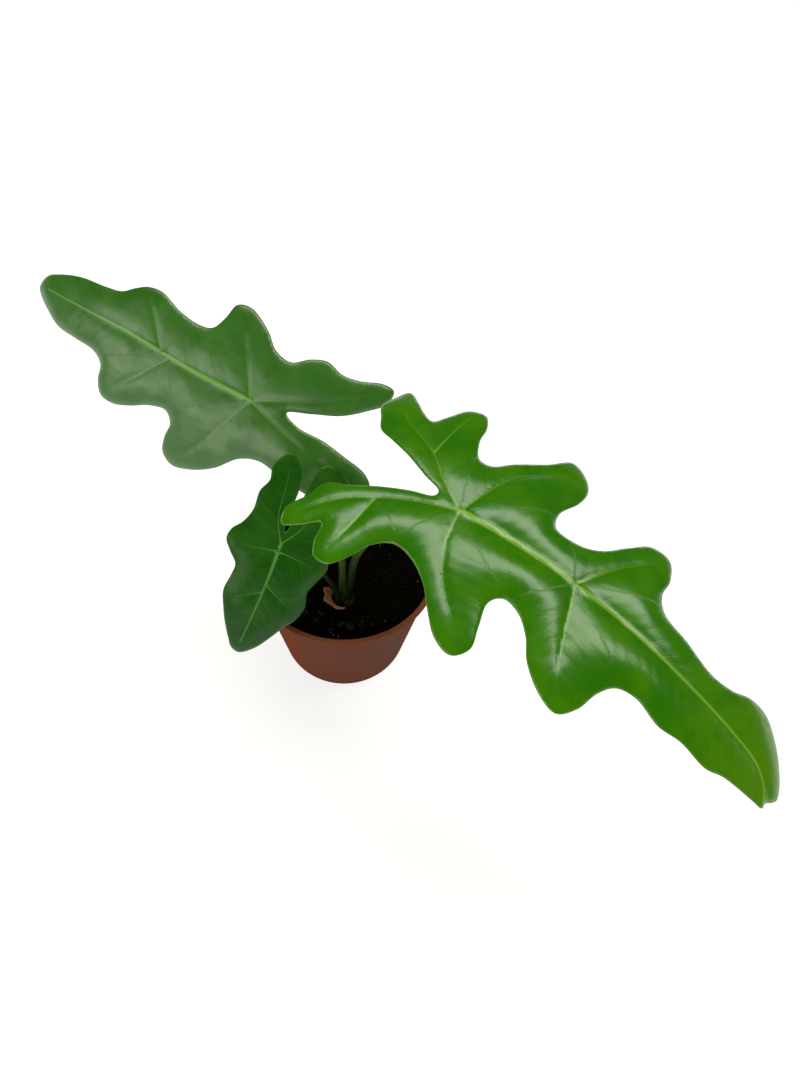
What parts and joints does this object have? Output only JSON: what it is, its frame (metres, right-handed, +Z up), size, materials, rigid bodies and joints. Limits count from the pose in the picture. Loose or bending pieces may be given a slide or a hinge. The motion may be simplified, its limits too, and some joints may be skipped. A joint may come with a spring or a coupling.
{
  "type": "potted alocasia portei",
  "caption": "Young aroid house plant with long, deeply lobed, arrow-shaped glossy leaves on slim stalks, growing in a round plastic nursery pot.",
  "frame": {"origin": "middle of the pot's flat underside, on the surface it stands on", "axes": "+Z up the pot's axis; -Y towards the side the plant is seen from; the largest leaf points to +X and -Y, the second to -X and +Y"},
  "size_m": [0.4136, 0.2599, 0.218],
  "materials": {
    "pot": "terracotta-brown injection-moulded plastic, satin",
    "potting_mix": "dark moist peat and fine bark, rough and crumbly, with specks of moss",
    "stem": "fresh pale green stem, satin",
    "sheath": "dry papery reddish-brown sheath leaf, matte",
    "leaf_stalk": "smooth pale green stalk, satin",
    "front_leaf": "bright green young leaf, glossy, with sunken yellow-green veins",
    "back_leaf": "dark green mature leaf with a greyish satin sheen and yellow-green veins",
    "small_leaf": "deep bluish green small leaf, satin, with paler veins"
  },
  "bodies": {
    "root": {"pot": "pot", "potting_mix": "potting_mix", "stem": "stem", "sheath": "sheath", "front_leaf_stalk": "leaf_stalk", "front_leaf_blade": "front_leaf", "back_leaf_stalk": "leaf_stalk", "back_leaf_blade": "back_leaf", "small_leaf_stalk": "leaf_stalk", "small_leaf_blade": "small_leaf"}
  },
  "joints": []
}
